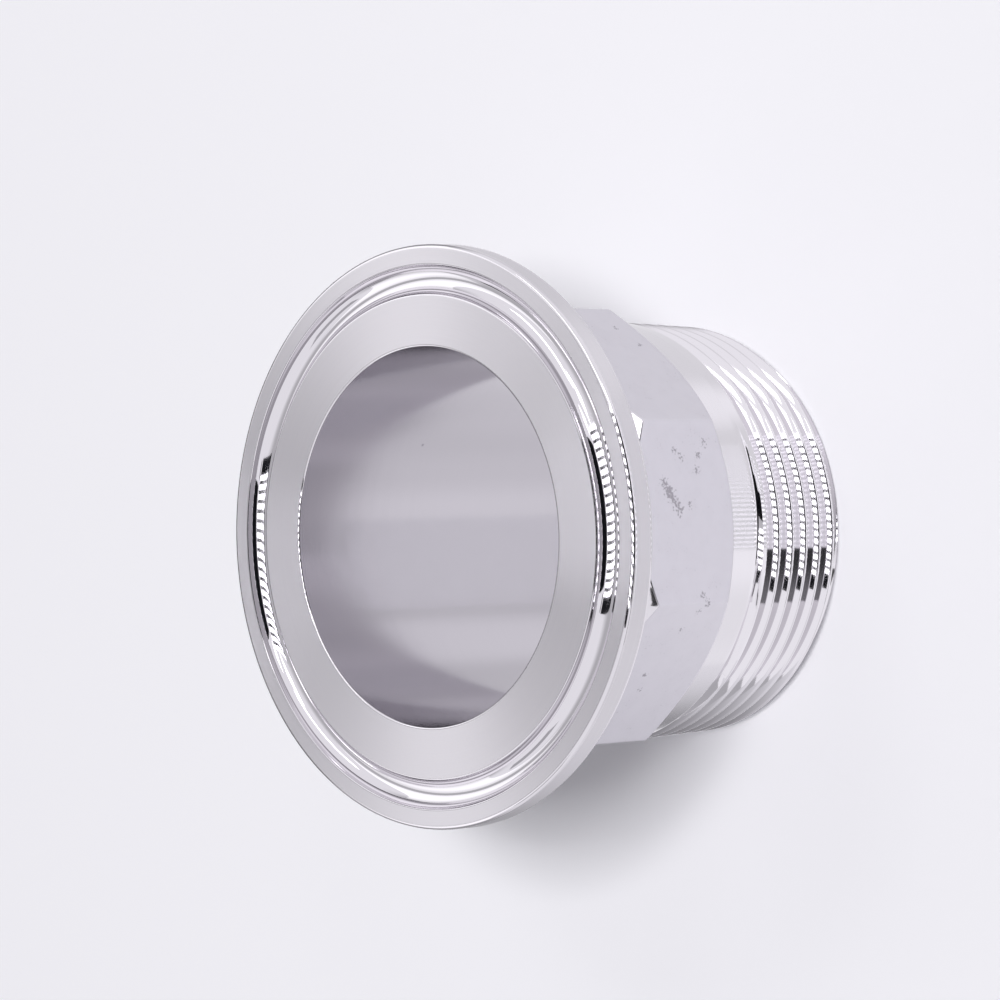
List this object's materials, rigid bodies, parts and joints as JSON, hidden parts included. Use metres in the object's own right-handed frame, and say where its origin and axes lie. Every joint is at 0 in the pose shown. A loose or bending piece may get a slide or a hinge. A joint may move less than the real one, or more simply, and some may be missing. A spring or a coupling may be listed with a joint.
{
  "type": "sanitary clamp threaded adapter",
  "caption": "Sanitary pipe adapter turned from stainless steel: clamp flange with gasket groove, octagonal wrench body, tapered male pipe thread and straight through bore.",
  "frame": {"origin": "centre of the thread's end face, on which the adapter stands", "axes": "+Z along the bore towards the clamp flange; +X and +Y point through the middles of two wrench flats"},
  "size_m": [0.064, 0.064, 0.043],
  "materials": {
    "stainless_steel": "fine turned on the round surfaces, blasted on the octagon"
  },
  "bodies": {
    "root": {"clamp_thread_adapter": "stainless_steel"}
  },
  "joints": []
}
